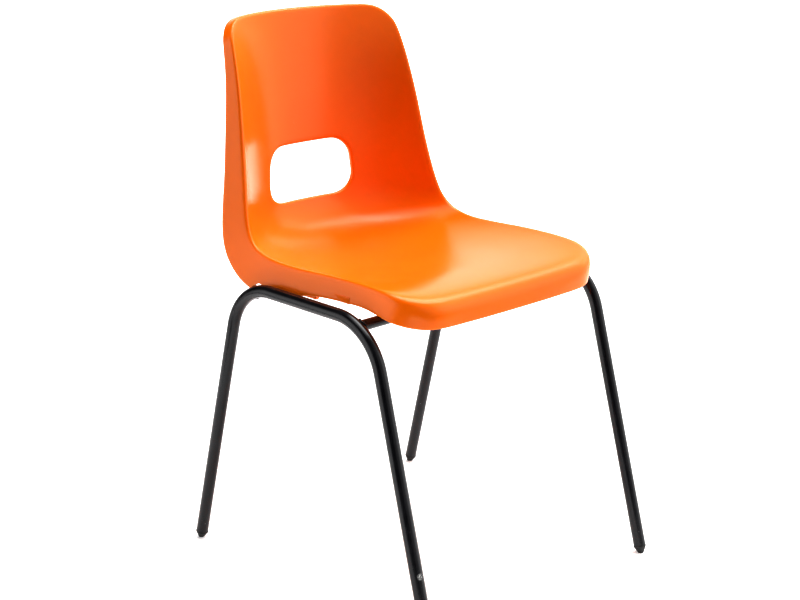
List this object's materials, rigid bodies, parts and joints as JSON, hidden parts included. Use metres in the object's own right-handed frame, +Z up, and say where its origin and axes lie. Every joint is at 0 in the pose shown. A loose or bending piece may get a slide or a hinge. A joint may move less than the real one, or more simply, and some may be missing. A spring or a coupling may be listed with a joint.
{
  "type": "stacking chair",
  "caption": "Stacking chair with a one-piece moulded seat shell, hand-hold slot in the back and a bent tube frame on splayed legs.",
  "frame": {"origin": "on the floor under the middle of the chair's overall box", "axes": "+Z up; the sitter faces -Y; +X is the sitter's left"},
  "size_m": [0.4834, 0.5622, 0.821],
  "materials": {
    "shell_plastic": "fine satin moulded polypropylene",
    "coated_tube": "gloss black coating",
    "foot_plastic": "moulded black",
    "zinc_plated_steel": "zinc plated"
  },
  "bodies": {
    "root": {"seat_shell": "shell_plastic", "left_side_frame": "coated_tube", "right_side_frame": "coated_tube", "front_crossbar": "coated_tube", "rear_crossbar": "coated_tube", "front_crossbar_welds": "coated_tube", "rear_crossbar_welds": "coated_tube", "front_left_foot": "foot_plastic", "front_right_foot": "foot_plastic", "rear_left_foot": "foot_plastic", "rear_right_foot": "foot_plastic", "seat_screws": "zinc_plated_steel", "screw_washers": "zinc_plated_steel"}
  },
  "joints": []
}
